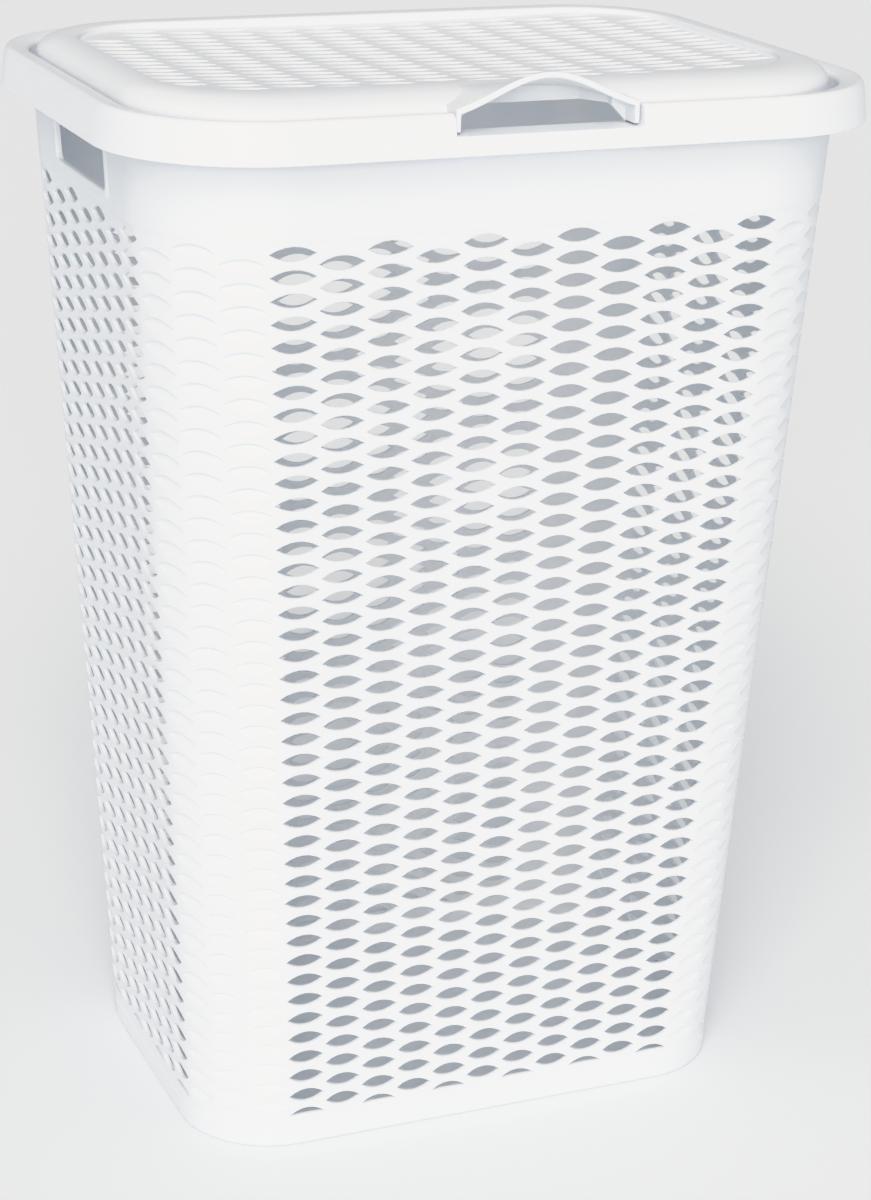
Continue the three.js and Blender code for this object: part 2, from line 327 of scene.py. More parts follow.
def lens_cell(low, high, split_top, split_bottom, down=1.0):
    """A cell with a hole right through, its front edge bevelled."""
    cell = Cell(low, high, split_top, split_bottom)
    before = lens_outline(cell, down)
    for depth in (LENS_BEVEL["depth"], WALL):
        inside = cell.loop(LENS["half"], LENS["rise"], LENS["rise"] * down, depth)
        cell.strip(before[0], inside[0])
        cell.strip(before[1], inside[1])
        before = inside
    cell.plate(*before, WALL)
    return cell


def dimple_cell(low, high, split_top, split_bottom, down=1.0):
    """A cell with the same lens scooped out but not through: deep at its top, shallow below."""
    cell = Cell(low, high, split_top, split_bottom)
    outside = lens_outline(cell, down)
    base = cell.loop(DIMPLE["half"], DIMPLE["rise"], DIMPLE["fall"] * down, DIMPLE["shallow"])
    bends = (
        (outside[0], LENS_BEVEL["rise"], -DIMPLE["brow"]),
        (base[0], DIMPLE["rise"], DIMPLE["deep"]),
    )
    for upper, rise, middle_depth in bends:
        for i in upper:
            s, z, depth = cell.points[i]
            cell.points[i] = (s, z, depth + (middle_depth - depth) * math.sqrt(max(z, 0) / rise))
    cell.strip(outside[0], base[0])
    cell.strip(outside[1], base[1])
    cell.strip(*base)
    cell.plain(WALL)
    return cell


def plain_cell(low, high, split_top, split_bottom):
    """A cell of solid wall."""
    cell = Cell(low, high, split_top, split_bottom)
    cell.plain(0)
    cell.plain(WALL)
    return cell


def rows_in(column):
    """Rows of lenses in a column. The back's odd columns stop one row lower."""
    on_back = abs(column - COLUMNS // 2) <= FRONT_REACH
    return ROWS - 1 if on_back and column % 2 else ROWS


def lattice(skin):
    """All the cells round the basket. Each shape of cell is made once, then bent on to the wall."""
    half_row = ROW_PITCH / 2
    placed = {}

    def place(kind, column, z, *shape):
        placed.setdefault((kind, *shape), []).append((column, z))

    for column in range(COLUMNS):
        blind, curved = corner_columns(column)
        kind = dimple_cell if blind else lens_cell
        odd = column % 2
        rows = rows_in(column)
        for row in range(ROWS):
            top = curved or row >= rows - 1
            bottom = curved or row == 0 or row >= rows
            z = FIRST_ROW_Z + (row + odd / 2) * ROW_PITCH
            place(kind if row < rows else plain_cell, column, z, -half_row, half_row, top, bottom)
        if odd:
            foot = FIRST_ROW_Z - half_row
            place(kind, column, foot, LATTICE_FOOT_Z - foot, half_row, True, True, 0.0)
    for (kind, *shape), spots in placed.items():
        cell = kind(*shape)
        points = np.array(cell.points)
        for column, z in spots:
            s, dz, depth = points.T
            skin.add(wall_point(column + s, z + dz, depth), cell.faces)


def plain_strips(skin):
    """The short plain stretches that end the even columns."""
    steps = np.arange(ARC_STEPS + 1) / ARC_STEPS - 0.5
    low = FIRST_ROW_Z - ROW_PITCH / 2
    high = FIRST_ROW_Z + (ROWS - 0.5) * ROW_PITCH
    for column in range(0, COLUMNS, 2):
        for depth in (0, WALL):
            for z0, z1 in ((LATTICE_FOOT_Z, low), (high, high + ROW_PITCH / 2)):
                skin.grid(wall_point(column + steps, np.array([[z0], [z1]]), depth))


def ring_strips(skin, levels, skip=()):
    """Bands of wall right round the basket through (z, depth) levels, left out at some columns."""
    count = COLUMNS * ARC_STEPS
    z, depth = np.array(levels).T[..., None]
    s = np.arange(count + 1) / ARC_STEPS
    keep = np.ones(count, bool)
    for start, end in skip:
        keep[round(start * ARC_STEPS):round(end * ARC_STEPS)] = False
    points = wall_point(s % COLUMNS, z, depth)
    for i in np.flatnonzero(keep):
        skin.grid(points[:, i:i + 2])


def slot_loop(half, z0, z1, radius, s_middle, depth):
    """A rounded slot on a side wall, from its bottom middle."""
    outline = [(t * (half - radius), z0) for t in np.linspace(0, 1, 11)]
    corners = (                           # centre, quarter turns at its start, next corner, steps to it
        (half - radius, z0 + radius, -1, (half, z1 - radius), 3),
        (half - radius, z1 - radius, 0, (radius - half, z1), 20),
        (radius - half, z1 - radius, 1, (-half, z0 + radius), 3),
        (radius - half, z0 + radius, 2, (0, z0), 10),
    )
    for cy, cz, quarters, (next_y, next_z), steps in corners:
        turn = (quarters + np.linspace(0, 1, 6)[1:]) * math.pi / 2
        outline += [(cy + radius * math.cos(a), cz + radius * math.sin(a)) for a in turn]
        y, z = outline[-1]
        share = [i / steps for i in range(1, steps + 1)]
        outline += [(y + (next_y - y) * t, z + (next_z - z) * t) for t in share]
    along, z = np.array(outline[:-1]).T
    pitch = np.array([pitch_at(v) for v in z])
    return wall_point(s_middle + along / pitch, z, depth)


def slot_frame(s_middle, depth):
    """The edge of the plate round a hand-hole, with as many points as the slot."""
    z0, z1 = HAND_CELL_Z
    steps = round(HAND_CELL * ARC_STEPS)
    along = np.arange(steps + 1) / ARC_STEPS
    outline = [(s, z0) for s in along]
    outline += [(HAND_CELL, z) for z in np.linspace(z0, z1, 4)[1:]]
    outline += [(s, z1) for s in np.arange(steps - 1, -steps - 1, -1) / ARC_STEPS]
    outline += [(-HAND_CELL, z) for z in np.linspace(z1, z0, 4)[1:]]
    outline += [(-s, z0) for s in along[-2:0:-1]]
    s, z = np.array(outline).T
    return wall_point(s_middle + s, z, depth)


def hand_hole(skin, s_middle):
    """A slot through a side wall with a raised rounded lip."""
    lip = [                               # distance out from the slot's edge, depth
        (5.6, -COLLAR_PROUD), (5.0, -0.65), (4.2, -1.1), (3.0, -1.25), (1.3, -1.25), (0.5, -1.0),
        (0.0, -0.4), (0.0, WALL - 0.4), (0.4, WALL),
    ]
    loops = [slot_frame(s_middle, -COLLAR_PROUD)]
    for out, depth in lip:
        top = HAND_Z1 + min(out, HAND_LIP_REACH)
        shape = (HAND_HALF + out, HAND_Z0 - out, top, HAND_R + out / 2)
        loops.append(slot_loop(*shape, s_middle, depth))
    loops.append(slot_frame(s_middle, WALL))
    skin.grid(np.array(loops), close_columns=True)


def basket_foot(skin):
    """The band round the foot, the foot ring under it and the raised floor."""
    floor_top = FLOOR_RAISE + WALL
    ring_strips(skin, [
        (LATTICE_FOOT_Z, 0), (BAND_Z + 1.0, 0), (BAND_Z + 0.2, -BAND_PROUD * 0.35),
        (BAND_Z - 0.4, -BAND_PROUD * 0.9), (BAND_Z - 1.2, -BAND_PROUD), (2.6, -BAND_PROUD),
        (1.2, -BAND_PROUD * 0.6), (0.35, 0.2), (0, 1.6), (0, FOOT_WIDTH),
        (0.6, FOOT_WIDTH + 0.8), (FLOOR_RAISE, FOOT_WIDTH + 3),
    ])
    ring_strips(skin, [
        (LATTICE_FOOT_Z, WALL), (floor_top + 5, WALL), (floor_top + 2, WALL + 0.9),
        (floor_top + 0.5, WALL + 2.8), (floor_top, WALL + 6),
    ])
    s = np.arange(COLUMNS * ARC_STEPS) / ARC_STEPS
    for z, depth in ((FLOOR_RAISE, FOOT_WIDTH + 3), (floor_top, WALL + 6)):
        skin.add(wall_point(s, z, depth), [range(len(s))])


def collar(skin):
    """The plain wall above the lattice, up to the basket's edge, open round the hand-holes' plates."""
    lattice_top = FIRST_ROW_Z + ROWS * ROW_PITCH
    z0, z1 = HAND_CELL_Z
    quarter = COLUMNS / 4
    gaps = [(quarter * q - HAND_CELL, quarter * q + HAND_CELL) for q in (1, 3)]
    proud = -COLLAR_PROUD
    step = [(lattice_top, 0), (lattice_top + 0.3, proud * 0.8), (lattice_top + 0.7, proud), (z0, proud)]
    for levels, depth in ((step, proud), ([(lattice_top, WALL), (z0, WALL)], WALL)):
        ring_strips(skin, levels)
        ring_strips(skin, [(z, depth) for z in np.linspace(z0, z1, 4)], gaps)
    ring_strips(skin, [
        (z1, proud), (BASKET_TOP_Z - 0.6, proud), (BASKET_TOP_Z, 0.4),
        (BASKET_TOP_Z, WALL - 0.6), (BASKET_TOP_Z - 0.6, WALL), (z1, WALL),
    ])


def basket():
    """The basket's moulding, inside and out."""
    skin = Skin()
    lattice(skin)
    plain_strips(skin)
    basket_foot(skin)
    collar(skin)
    for quarters in (1, 3):
        hand_hole(skin, quarters * COLUMNS / 4)
    return skin.make("basket")


# ---- Swept rings ----------------------------------------------------------------------------------
ACROSS_REACH, ALONG_REACH = 125, 60       # how far the straight stretches go either side of their middles
STRAIGHT_STEP = 10
CORNER_STEPS = 24


def ring(outline, z, inset=0.0):
    """Width, depth, corner radius, middle and height of a rounded rectangle."""
    width, depth, radius, middle = outline
    return np.array([width - 2 * inset, depth - 2 * inset, radius - inset, middle, z])


def soften(profile, closed=True, steps=3):
    """A profile with its corners rounded. Each entry is a ring and the length its rounding takes."""
    rings = [entry[0] for entry in profile]
    made = []
    for i, (here, length) in enumerate(profile):
        if length == 0 or (not closed and i in (0, len(profile) - 1)):
            made.append(here)
            continue
        ends = []
        for other in (rings[i - 1], rings[(i + 1) % len(rings)]):
            away = math.hypot((other[0] - here[0]) / 2, other[4] - here[4])
            ends.append(here + (other - here) * min(0.45, length / max(away, 1e-6)))
        for t in np.linspace(0, 1, steps + 1):
            made.append((1 - t) ** 2 * ends[0] + 2 * t * (1 - t) * here + t * t * ends[1])
    return np.array(made)


def stations(across):
    """Places round a rounded rectangle, anticlockwise from the front left, at these X on front and back."""
    along = spread(ALONG_REACH)
    turn = np.linspace(0, math.pi / 2, CORNER_STEPS + 1)
    spots = [("across", x, -1) for x in across]
    spots += [("corner", a - math.pi / 2, (1, -1)) for a in turn]
    spots += [("along", y, 1) for y in along]
    spots += [("corner", a, (1, 1)) for a in turn]
    spots += [("across", x, 1) for x in across[::-1]]
    spots += [("corner", a + math.pi / 2, (-1, 1)) for a in turn]
    spots += [("along", y, -1) for y in along[::-1]]
    spots += [("corner", a + math.pi, (-1, -1)) for a in turn]
    return spots


def place_rings(rings, spot):
    """Where a list of rings passes one station."""
    kind, value, side = spot
    width, depth, radius, middle, z = rings.T
    if kind == "across":
        x, y = np.full(len(z), value), middle + side * depth / 2
    elif kind == "along":
        x, y = side * width / 2, middle + value
    else:
        x = side[0] * (width / 2 - radius) + radius * math.cos(value)
        y = middle + side[1] * (depth / 2 - radius) + radius * math.sin(value)
    return np.stack([x, y, z], -1)


def spread(reach, *stops):
    """Evenly spaced values from -reach to reach, with the given values added on both sides."""
    even = np.linspace(-reach, reach, round(2 * reach / STRAIGHT_STEP) + 1)
    extra = np.array([v for stop in stops for v in (stop, -stop)])
    return np.unique(np.round(np.concatenate([even, extra]), 3))


# ---- Rim frame ------------------------------------------------------------------------------------
SKIRT = (RIM_HIGH[0] - RIM_LOW[0], RIM_HIGH[1] - RIM_LOW[1], 85.0, 0.0)
GAP_WALL = (417.6, 313.6, 70.0, 0.0)      # wall of the rim facing the lid
FLANGE = (409.8, 307.2, 70.9, 0.0)        # plug inside the basket's top
# How the rim's section changes across the end of a notch: distance past the end, share of the notch.
NOTCH_EDGE = ([-1.2, -0.8, -0.3, -0.02, 0.02, 0.2, 0.6, 1.2], [1, 0.98, 0.93, 0.9, 0.14, 0.07, 0.02, 0])
CAVITY_EDGE = ([-0.02, 0.02], [1, 0])
FLANGE_DROP = 6                           # how far the flange reaches below the shelf


def rim_profile():
    """Outside, then the cavity under the bead."""
    outside = [
        (ring(SKIRT, SHOULDER_Z), 0.7), (ring(SKIRT, RIM_TOP_Z + 0.1, 2.6), 4.6),
        (ring(SKIRT, RIM_TOP_Z - 0.2, 9), 5), (ring(GAP_WALL, RIM_TOP_Z - 1.9), 2.4),
        (ring(GAP_WALL, LEDGE_Z), 0.6), (ring(FLANGE, LEDGE_Z, WALL), 0.8),
        (ring(FLANGE, LEDGE_UNDER_Z - FLANGE_DROP, WALL), 0.6),
        (ring(FLANGE, LEDGE_UNDER_Z - FLANGE_DROP, 0.4), 0.6),
    ]
    cavity = [
        (ring(FLANGE, LEDGE_UNDER_Z), 0.4), (ring(GAP_WALL, LEDGE_UNDER_Z, -WALL), 0.4),
        (ring(GAP_WALL, RIM_TOP_Z - 3.8, -WALL), 1), (ring(SKIRT, RIM_TOP_Z - 2.7, 9), 1),
        (ring(SKIRT, RIM_TOP_Z - 2.5, 5), 2), (ring(SKIRT, SHOULDER_Z, WALL), 0.7),
    ]
    return outside, cavity


def rim_sections():
    """The rim's section, the same at the front notch and at a hinge pocket, and where its cavity starts."""
    outside, cavity = rim_profile()
    notch_outside = [
        outside[0], (ring(SKIRT, LEDGE_Z, 1.3), 1.0), (ring(SKIRT, LEDGE_Z, 9), 1.0),
        (ring(GAP_WALL, LEDGE_Z, -1.5), 0.4), *outside[4:],
    ]
    pocket_outside = [
        outside[0], (ring(SKIRT, RIM_TOP_Z + 0.1, 2.6), 1.2), (ring(SKIRT, RIM_TOP_Z, 4.7), 0.5),
        (ring(SKIRT, LEDGE_Z, 4.8), 0.4), *outside[4:],
    ]
    low_cavity = [
        *cavity[:2], (ring(GAP_WALL, LEDGE_UNDER_Z, -WALL - 1), 0.4),
        (ring(SKIRT, LEDGE_UNDER_Z, 9), 0.6), (ring(SKIRT, LEDGE_UNDER_Z, 3.7), 0.6), cavity[5],
    ]
    full = soften(outside + cavity)
    cavity_start = len(full) - len(soften(cavity))
    return full, soften(notch_outside + low_cavity), soften(pocket_outside + low_cavity), cavity_start


def rim():
    """The frame, one section swept round, which changes at the front notch and the hinge pockets."""
    full, notch, pocket, cavity_start = rim_sections()
    edges, weights = NOTCH_EDGE
    stops = [NOTCH_HALF + e for e in edges] + [NOTCH_HALF + WEB + e for e in CAVITY_EDGE[0]]
    for side in (-1, 1):
        stops += [POCKET_X + side * (POCKET_HALF + e) for e in edges]
        stops += [POCKET_X + side * (POCKET_HALF + WEB + e) for e in CAVITY_EDGE[0]]
    rows = []
    for spot in stations(spread(ACROSS_REACH, *stops)):
        kind, value, side = spot
        shape = full
        if kind == "across":
            other = notch if side < 0 else pocket
            beyond = abs(value) - NOTCH_HALF if side < 0 else abs(abs(value) - POCKET_X) - POCKET_HALF
            share = np.full(len(full), np.interp(beyond, edges, weights))
            share[cavity_start:] = np.interp(beyond - WEB, *CAVITY_EDGE)
            shape = full + (other - full) * share[:, None]
        rows.append(place_rings(shape, spot))
    skin = Skin()
    skin.grid(np.array(rows), close_rows=True, close_columns=True)
    piece = skin.make("rim")
    for side in (-1, 1):
        reach = POCKET_HALF + WEB + 1
        combine(piece, turned("bore", side * POCKET_X, [(-reach, BORE_R), (reach, BORE_R)]), "DIFFERENCE")
    return piece


def turned(name, x, profile):
    """A solid turned about the hinge line, from (distance along X from x, radius) pairs."""
    angles = np.arange(TURN_STEPS) * math.tau / TURN_STEPS
    rows = []
    for along, radius in profile:
        y = HINGE_AT[1] + radius * np.cos(angles)
        z = HINGE_AT[2] + radius * np.sin(angles)
        rows.append(np.stack([np.full(TURN_STEPS, x + along), y, z], -1))
    skin = Skin()
    skin.grid(np.array(rows), close_columns=True)
    skin.add(rows[0], [range(TURN_STEPS)])
    skin.add(rows[-1], [range(TURN_STEPS)])
    return skin.make(name)


# ---- Lid ------------------------------------------------------------------------------------------
LID_EDGE = (LID_HIGH[0] - LID_LOW[0], 309.0, 78.0, 0.0)
LID_CREST = (384.0, 254.0, 58.0, 1.0)
RECESS = (372.0, 238.0, 56.0, 2.0)
RECESS_WALL = 1.8
DISH_Z, DISH_ACROSS, DISH_ALONG = 612.3, 3.4, 1.9   # middle of the grille, and its rise to its edges


def dish(x, y):
    """Height of the grille's top face, which sags a little in the middle."""
    across, along = 2 * x / RECESS[0], 2 * (y - RECESS[3]) / RECESS[1]
    return DISH_Z + DISH_ACROSS * across ** 2 + DISH_ALONG * along ** 2


def crown(depth, steps=12):
    """The border's quarter ellipse, edge to crest, depth under its face."""
    edge, crest = np.array(LID_EDGE), np.array(LID_CREST)
    made = []
    for angle in np.linspace(0, math.pi / 2, steps + 1):
        outline = edge + (crest - edge) * (1 - math.cos(angle))
        z = LID_EDGE_TOP_Z + (CREST_Z - LID_EDGE_TOP_Z) * math.sin(angle) - depth
        made.append((ring(outline, z, depth * math.cos(angle)), 0))
    return made


def grille_lenses():
    """Middles of the grille's holes: columns of lenses, every other one shifted by half a row."""
    spots = []
    for column in range(GRILLE_COLUMNS):
        x = (column - (GRILLE_COLUMNS - 1) / 2) * GRILLE_PITCH
        for row in range(-GRILLE_ROWS, GRILLE_ROWS + 1):
            y = RECESS[3] + (row + (column % 2) / 2) * ROW_PITCH
            spots.append((x, y))
    return [spot for spot in spots if lens_fits(*spot)]


def lens_fits(x, y):
    """True where a whole lens stands clear of the recess wall."""
    width, depth, radius, middle = RECESS
    half, rise = GRILLE_LENS["half"], GRILLE_LENS["rise"]
    for dx, dy in ((half, 0), (half * 0.6, rise), (0, rise + 1.1)):
        past_x = abs(x) + dx - (width / 2 - radius)
        past_y = abs(y - middle) + dy - (depth / 2 - radius)
        outside = math.hypot(max(past_x, 0), max(past_y, 0)) + min(max(past_x, past_y), 0)
        if outside > radius - GRILLE_MARGIN:
            return False
    return True


def flat_lens(x, y, grow):
    """Outline of a grille hole, anticlockwise."""
    half, rise = GRILLE_LENS["half"] + grow, GRILLE_LENS["rise"] + grow
    steps = 8
    turn = [1 - 2 * i / steps for i in range(steps)]
    upper = [(x + half * t, y + rise * (1 - t * t)) for t in turn]
    lower = [(x - half * t, y - rise * (1 - t * t)) for t in turn]
    return np.array(upper + lower)


def pierced(skin, outline, holes, height):
    """A plate inside a convex outline with convex holes in it, its points lifted to height(x, y)."""
    loops = [outline, *holes]
    flat = np.concatenate(loops)
    owner = np.repeat(np.arange(len(loops)), [len(loop) for loop in loops])
    ends = np.cumsum([len(loop) for loop in loops])
    rims = [range(end - len(loop), end) for end, loop in zip(ends, loops)]
    made = delaunay_2d_cdt([Vector(p) for p in flat], [], rims, 0, 1e-4, True)
    source = [found[0] for found in made[3]]
    faces = [[source[i] for i in face] for face in made[2]]
    # The holes are convex, so a face with all its corners on one hole's edge lies in that hole.
    inside_a_hole = [owner[a] == owner[b] == owner[c] > 0 for a, b, c in faces]
    faces = [face for face, open_here in zip(faces, inside_a_hole) if not open_here]
    skin.add(np.column_stack([flat, height(*flat.T)]), faces)


def grille(skin, top_edge, bottom_edge):
    """The sunken plate with its lens-shaped holes, bevelled at the top."""
    def under(x, y):
        return dish(x, y) - GRILLE_THICK

    def at(flat, drop):
        return np.column_stack([flat, dish(*flat.T) - drop])

    lenses = grille_lenses()
    wide = [flat_lens(x, y, GRILLE_BEVEL) for x, y in lenses]
    holes = [flat_lens(x, y, 0) for x, y in lenses]
    pierced(skin, top_edge, wide, dish)
    pierced(skin, bottom_edge, holes, under)
    for outer, inner in zip(wide, holes):
        walls = [at(outer, 0), at(inner, GRILLE_BEVEL), at(inner, GRILLE_THICK)]
        skin.grid(np.array(walls), close_columns=True)


def lid_shell():
    """Border and grille."""
    edge_low = LID_LOW[2]
    profile = soften([
        (ring(RECESS, 0, 0.3), 0), (ring(RECESS, CREST_Z - 0.3, 0), 1.0),
        (ring(LID_CREST, CREST_Z, 3.5), 2.4), *crown(0)[::-1],
        (ring(LID_EDGE, edge_low), 0.7), (ring(LID_EDGE, edge_low, WALL), 0.7), *crown(WALL),
        (ring(RECESS, CREST_Z - WALL, -RECESS_WALL), 1.0), (ring(RECESS, 0, -RECESS_WALL), 0),
    ], closed=False)
    rows = []
    for spot in stations(spread(ACROSS_REACH)):
        row = place_rings(profile, spot)
        row[0, 2] = dish(*row[0, :2])
        row[-1, 2] = dish(*row[-1, :2]) - GRILLE_THICK
        rows.append(row)
    skin = Skin()
    rows = np.array(rows)
    skin.grid(rows, close_rows=True)
    grille(skin, distinct(rows[:, 0, :2]), distinct(rows[:, -1, :2]))
    return skin.make("lid")


def distinct(loop):
    """The loop without points that repeat."""
    return np.array([p for i, p in enumerate(loop) if np.abs(p - loop[i - 1]).max() > 1e-3])


def arch(x):
    """Height of the pull's arch, from 1 in the middle to 0 at its feet."""
    t = np.minimum(np.abs(x) / HOOD_HALF, 1)
    return 0.5 * np.cos(t * math.pi / 2) + 0.25 * (1 + np.cos(t * math.pi))


HOOD_BACK = LID_CREST[3] - LID_CREST[1] / 2


def hood_top(x, y, drop=0):
    """Height drop below the pull's roof, which settles on to the crest towards the back."""
    front = HOOD_SPRING_Z - drop + (HOOD_RISE - drop * 0.2) * arch(x)
    back = np.minimum(front, CREST_Z - 0.3 - drop)
    share = np.clip((HOOD_BACK - y) / (HOOD_BACK - HOOD_FRONT), 0, 1) ** 1.25
    return back + (front - back) * share


def archway(name, rows):
    """A solid of arched cross-sections: each has its y, half width, foot height, inset and roof(x, y)."""
    steps = 40
    loops = []
    for y, half, foot, inset, roof in rows:
        x = np.linspace(half - inset, inset - half, steps + 1)
        z = roof(x, y) - inset
        feet = [(side * (half - inset), y, foot + inset) for side in (1, -1)]
        loops.append([feet[0], *zip(x, np.full(len(x), y), z), feet[1]])
    loops = np.array(loops)
    skin = Skin()
    skin.grid(loops, close_columns=True)
    skin.add(loops[0], [range(loops.shape[1])])
    skin.add(loops[-1], [range(loops.shape[1])])
    return skin.make(name)


def hood_block():
    """The solid pull with its rounded front edge, from the arch back into the lid's crown."""
    rows = []
    for inset, y in ((1.0, 0.0), (0.5, 0.12), (0.15, 0.5), (0.0, 1.0)):
        rows.append((HOOD_FRONT + y, HOOD_HALF, HOOD_FOOT_Z, inset, hood_top))
    inside = -LID_EDGE[1] / 2 + WALL
    rows.append((inside - 0.4, HOOD_HALF, HOOD_FOOT_Z, 0, hood_top))
    for y in np.linspace(inside - 0.3, HOOD_BACK + 2, 14):
        rows.append((y, HOOD_HALF, FINGER_LOW_Z, 0, hood_top))
    return archway("hood", rows)


def behind_pocket():
    """The hollow behind the finger pocket's rear wall."""
    def roof(x, y):
        return np.full(len(x), CREST_Z - WALL)

    ends = (FINGER_BACK_Y + WALL, HOOD_BACK + 3)
    return archway("behind", [(y, HOOD_HALF + 1, HOOD_FOOT_Z, 0, roof) for y in ends])


def finger_roof(x, y):
    """Height of the finger pocket's roof, under the pull's."""
    return hood_top(x * HOOD_HALF / FINGER_FRONT, y, HOOD_THICK)


def finger_front():
    """The space behind the arch, as far back as the lid's edge, flared at its mouth."""
    rows = []
    for y, flare in ((-5.0, 0.9), (0.0, 0.9), (0.15, 0.45), (0.5, 0.1), (1.0, 0.0)):
        rows.append((HOOD_FRONT + y, FINGER_FRONT, FINGER_CUT_Z, -flare, finger_roof))
    rows.append((FINGER_WALL_Y, FINGER_FRONT, FINGER_CUT_Z, 0, finger_roof))
    return archway("finger_front", rows)


def finger_throat():
    """The pocket behind the lid's edge: it narrows to the back, and its lower front corners are cut off."""
    rows = [(FINGER_WALL_Y - 1, FINGER_THROAT, FINGER_CUT_Z, 0, finger_roof)]
    for share in np.linspace(0, 1, 8):
        y = FINGER_THROAT_Y + (FINGER_BACK_Y - FINGER_THROAT_Y) * share
        half = FINGER_THROAT + (FINGER_BACK - FINGER_THROAT) * share
        rows.append((y, half, FINGER_CUT_Z, 0, finger_roof))
    return archway("finger_throat", rows)


def corner_cut():
    """A prism through the lid's edge that slants its lower corners beside the pocket."""
    right = [
        (FINGER_FRONT, HOOD_FOOT_Z - 5), (FINGER_FRONT, HOOD_FOOT_Z),
        (FINGER_THROAT - 0.5, FINGER_LOW_Z),
    ]
    outline = right + [(-x, z) for x, z in reversed(right)]
    ends = (FINGER_WALL_Y - 1, FINGER_THROAT_Y + 0.8)
    return prism("corner_cut", *([(x, y, z) for x, z in outline] for y in ends))


def lid():
    """The lid's moulding with its pull, finger pocket and hinge knuckles."""
    piece = lid_shell()
    hood = hood_block()
    combine(hood, behind_pocket(), "DIFFERENCE")
    combine(piece, hood, "UNION")
    for cut in (finger_front(), finger_throat(), corner_cut()):
        combine(piece, cut, "DIFFERENCE")
    for side in (-1, 1):
        combine(piece, arm(side * POCKET_X), "UNION")
        combine(piece, knuckle(side * POCKET_X), "UNION")
    return piece


def knuckle(x):
    """A hinge barrel with a stub pin at each end."""
    half = BARREL_LENGTH / 2
    pin = POCKET_HALF + WEB - 0.5
    left = [
        (-pin, PIN_R - 0.4), (0.4 - pin, PIN_R), (-half, PIN_R),
        (-half, BARREL_R - 0.5), (0.5 - half, BARREL_R),
    ]
    return turned("knuckle", x, left + [(-along, radius) for along, radius in reversed(left)])


def arm(x):
    """The strap from the lid's edge to a hinge barrel."""
    half = BARREL_LENGTH / 2 - 0.4
    y0, y1 = LID_EDGE[1] / 2 - 1, HINGE_AT[1]
    z0, z1 = HINGE_AT[2] - 3, HINGE_AT[2] + 2.6
    right = [(half - 1, y0, z0), (half, y0, z0 + 1), (half, y0, z1 - 1), (half - 1, y0, z1)]
    outline = right + [(-across, y, z) for across, y, z in reversed(right)]
    near = np.array(outline) + [x, 0, 0]
    return prism("arm", near, near + [0, y1 - y0, 0])


# ---- Materials ------------------------------------------------------------------------------------
ROUGHNESS_CHANGE = 0.07                   # how far a surface's roughness wanders either way
FLOOR_WHITE = (0.895, 0.935, 0.97)


def plastic(name, light, shade, roughness):
    """White moulded polypropylene: fine grain, slight waviness and a little change of colour."""
    material = bpy.data.materials.new(name)
    material.use_nodes = True
    nodes, links = material.node_tree.nodes, material.node_tree.links
    shader = nodes["Principled BSDF"]
    shader.inputs["IOR"].default_value = 1.49
    place = nodes.new("ShaderNodeTexCoord")

    def noise(scale, detail):
        node = nodes.new("ShaderNodeTexNoise")
        node.inputs["Scale"].default_value = scale
        node.inputs["Detail"].default_value = detail
        links.new(place.outputs["Object"], node.inputs["Vector"])
        return node.outputs["Fac"]

    def bump(height, strength, distance):
        node = nodes.new("ShaderNodeBump")
        node.inputs["Strength"].default_value = strength
        node.inputs["Distance"].default_value = distance
        links.new(height, node.inputs["Height"])
        return node

    tint = nodes.new("ShaderNodeMix")
    tint.data_type = "RGBA"
    tint.inputs["A"].default_value = (*shade, 1)
    tint.inputs["B"].default_value = (*light, 1)
    links.new(noise(11, 3), tint.inputs["Factor"])
    links.new(tint.outputs["Result"], shader.inputs["Base Color"])

    gloss = nodes.new("ShaderNodeMapRange")
    gloss.inputs["To Min"].default_value = roughness - ROUGHNESS_CHANGE
    gloss.inputs["To Max"].default_value = roughness + ROUGHNESS_CHANGE
    links.new(noise(60, 4), gloss.inputs["Value"])
    links.new(gloss.outputs["Result"], shader.inputs["Roughness"])

    grain = bump(noise(1400, 2), 0.12, 0.2 * MM)
    wave = bump(noise(26, 1), 0.25, 0.8 * MM)
    links.new(grain.outputs["Normal"], wave.inputs["Normal"])
    links.new(wave.outputs["Normal"], shader.inputs["Normal"])
    return material


def floor_material():
    material = bpy.data.materials.new("floor_white")
    material.use_nodes = True
    shader = material.node_tree.nodes["Principled BSDF"]
    shader.inputs["Base Color"].default_value = (*FLOOR_WHITE, 1)
    shader.inputs["Roughness"].default_value = 0.9
    return material


# ---- Stage ----------------------------------------------------------------------------------------
SUN_TINT = (1, 0.891, 0.785)              # warm, with a cool sky, so the hollows are cooler than the faces
SKY_TINT = (0.92, 0.97, 1.03)
SKY_STRENGTH = 0.42
CAMERA_AZIMUTH, CAMERA_ELEVATION, CAMERA_ROLL = -22.82, 16.62, 1.33
CAMERA_DISTANCE = 1.75479
CAMERA_TARGET = Vector((0.01031, 0.0, 0.37641))
CAMERA_LENS = 88.21
CAMERA_SHIFT_Y = -0.125
FLOOR_REACH = 30


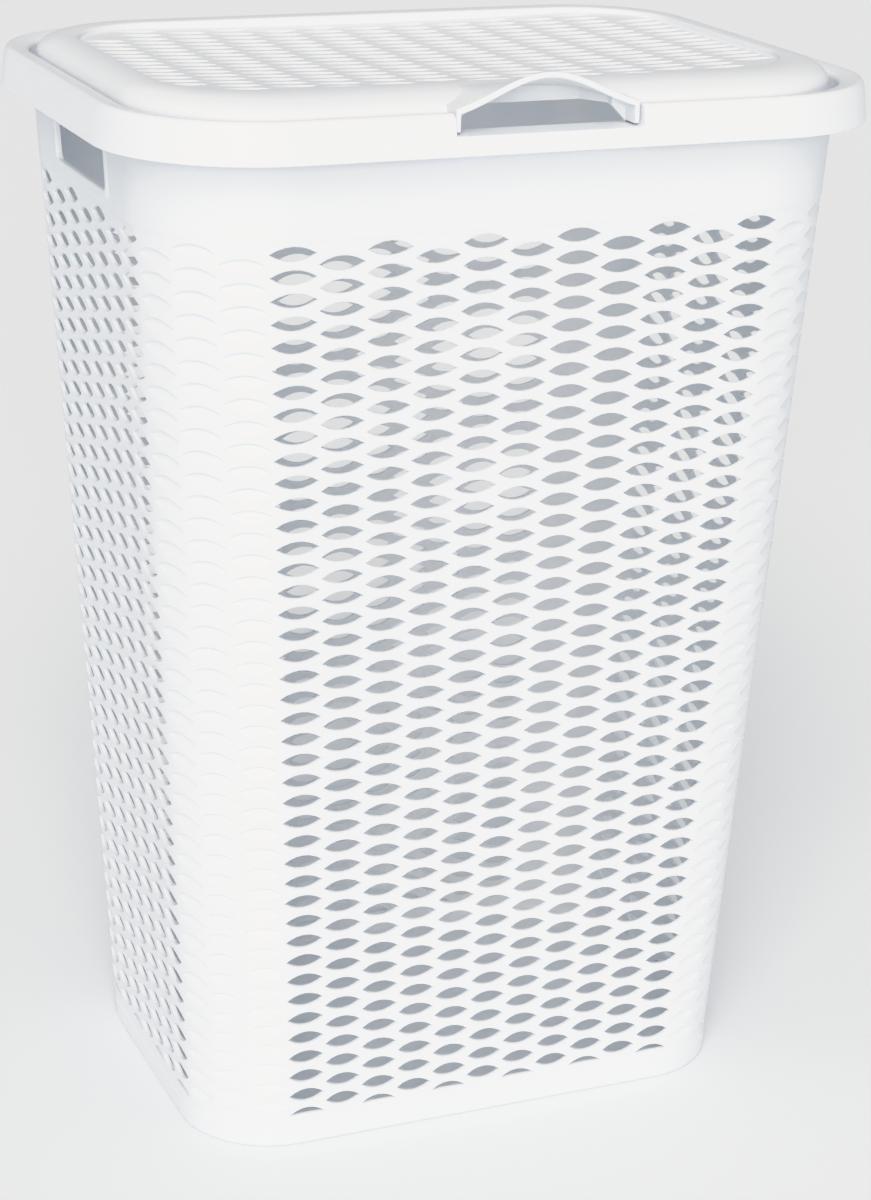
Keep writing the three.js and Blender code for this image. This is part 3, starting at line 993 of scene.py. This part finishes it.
def camera():
    """The photograph's view, from the left of the front and a little above."""
    azimuth, elevation, roll = map(math.radians, (CAMERA_AZIMUTH, CAMERA_ELEVATION, CAMERA_ROLL))
    level = math.cos(elevation)
    back = Vector((math.sin(azimuth) * level, -math.cos(azimuth) * level, math.sin(elevation)))
    right = Vector((math.cos(azimuth), math.sin(azimuth), 0))
    up = back.cross(right)
    right, up = (
        right * math.cos(roll) + up * math.sin(roll),
        up * math.cos(roll) - right * math.sin(roll),
    )
    data = bpy.data.cameras.new("camera")
    data.lens = CAMERA_LENS
    data.sensor_width = 36
    data.shift_y = CAMERA_SHIFT_Y
    data.clip_start, data.clip_end = 0.05, 100
    eye = bpy.data.objects.new("camera", data)
    eye.matrix_world = Matrix.Translation(CAMERA_TARGET + back * CAMERA_DISTANCE) @ Matrix(
        (right, up, back)
    ).transposed().to_4x4()
    bpy.context.scene.collection.objects.link(eye)
    bpy.context.scene.camera = eye


def sun_light(name, towards, strength, softness):
    """A distant soft light, given by the direction towards it and its width in degrees."""
    data = bpy.data.lights.new(name, "SUN")
    data.energy = strength
    data.angle = math.radians(softness)
    data.color = SUN_TINT
    lamp = bpy.data.objects.new(name, data)
    lamp.rotation_euler = Vector(towards).to_track_quat("Z", "Y").to_euler()
    bpy.context.scene.collection.objects.link(lamp)


def world():
    sky = bpy.data.worlds.new("studio")
    sky.use_nodes = True
    background = sky.node_tree.nodes["Background"]
    background.inputs["Color"].default_value = (*SKY_TINT, 1)
    background.inputs["Strength"].default_value = SKY_STRENGTH
    bpy.context.scene.world = sky


def floor():
    mesh = bpy.data.meshes.new("floor")
    corners = [(x * FLOOR_REACH, y * FLOOR_REACH, 0) for x, y in ((-1, -1), (1, -1), (1, 1), (-1, 1))]
    mesh.from_pydata(corners, [], [(0, 1, 2, 3)])
    ground = bpy.data.objects.new("floor", mesh)
    ground.data.materials.append(floor_material())
    bpy.context.scene.collection.objects.link(ground)


# ---- Assembly -------------------------------------------------------------------------------------
white_body = plastic("basket_white", (0.865, 0.908, 0.953), (0.846, 0.891, 0.94), 0.4)
smooth_white = ((0.866, 0.907, 0.951), (0.848, 0.892, 0.94), 0.36)
white_rim = plastic("rim_white", *smooth_white)
white_lid = plastic("lid_white", *smooth_white)

camera()
finish_piece(basket(), "hamper", "basket_body", white_body)
finish_piece(rim(), "hamper", "rim_frame", white_rim)
finish_piece(lid(), "lid", "lid_panel", white_lid)
floor()
world()
sun_light("front", (-0.32, -0.75, 0.2), 1.37, 25)
sun_light("high", (-0.3, -0.6, 0.62), 1.54, 30)
sun_light("top", (0, -0.15, 1), 0.385, 60)
bpy.context.scene.view_settings.view_transform = "Khronos PBR Neutral"
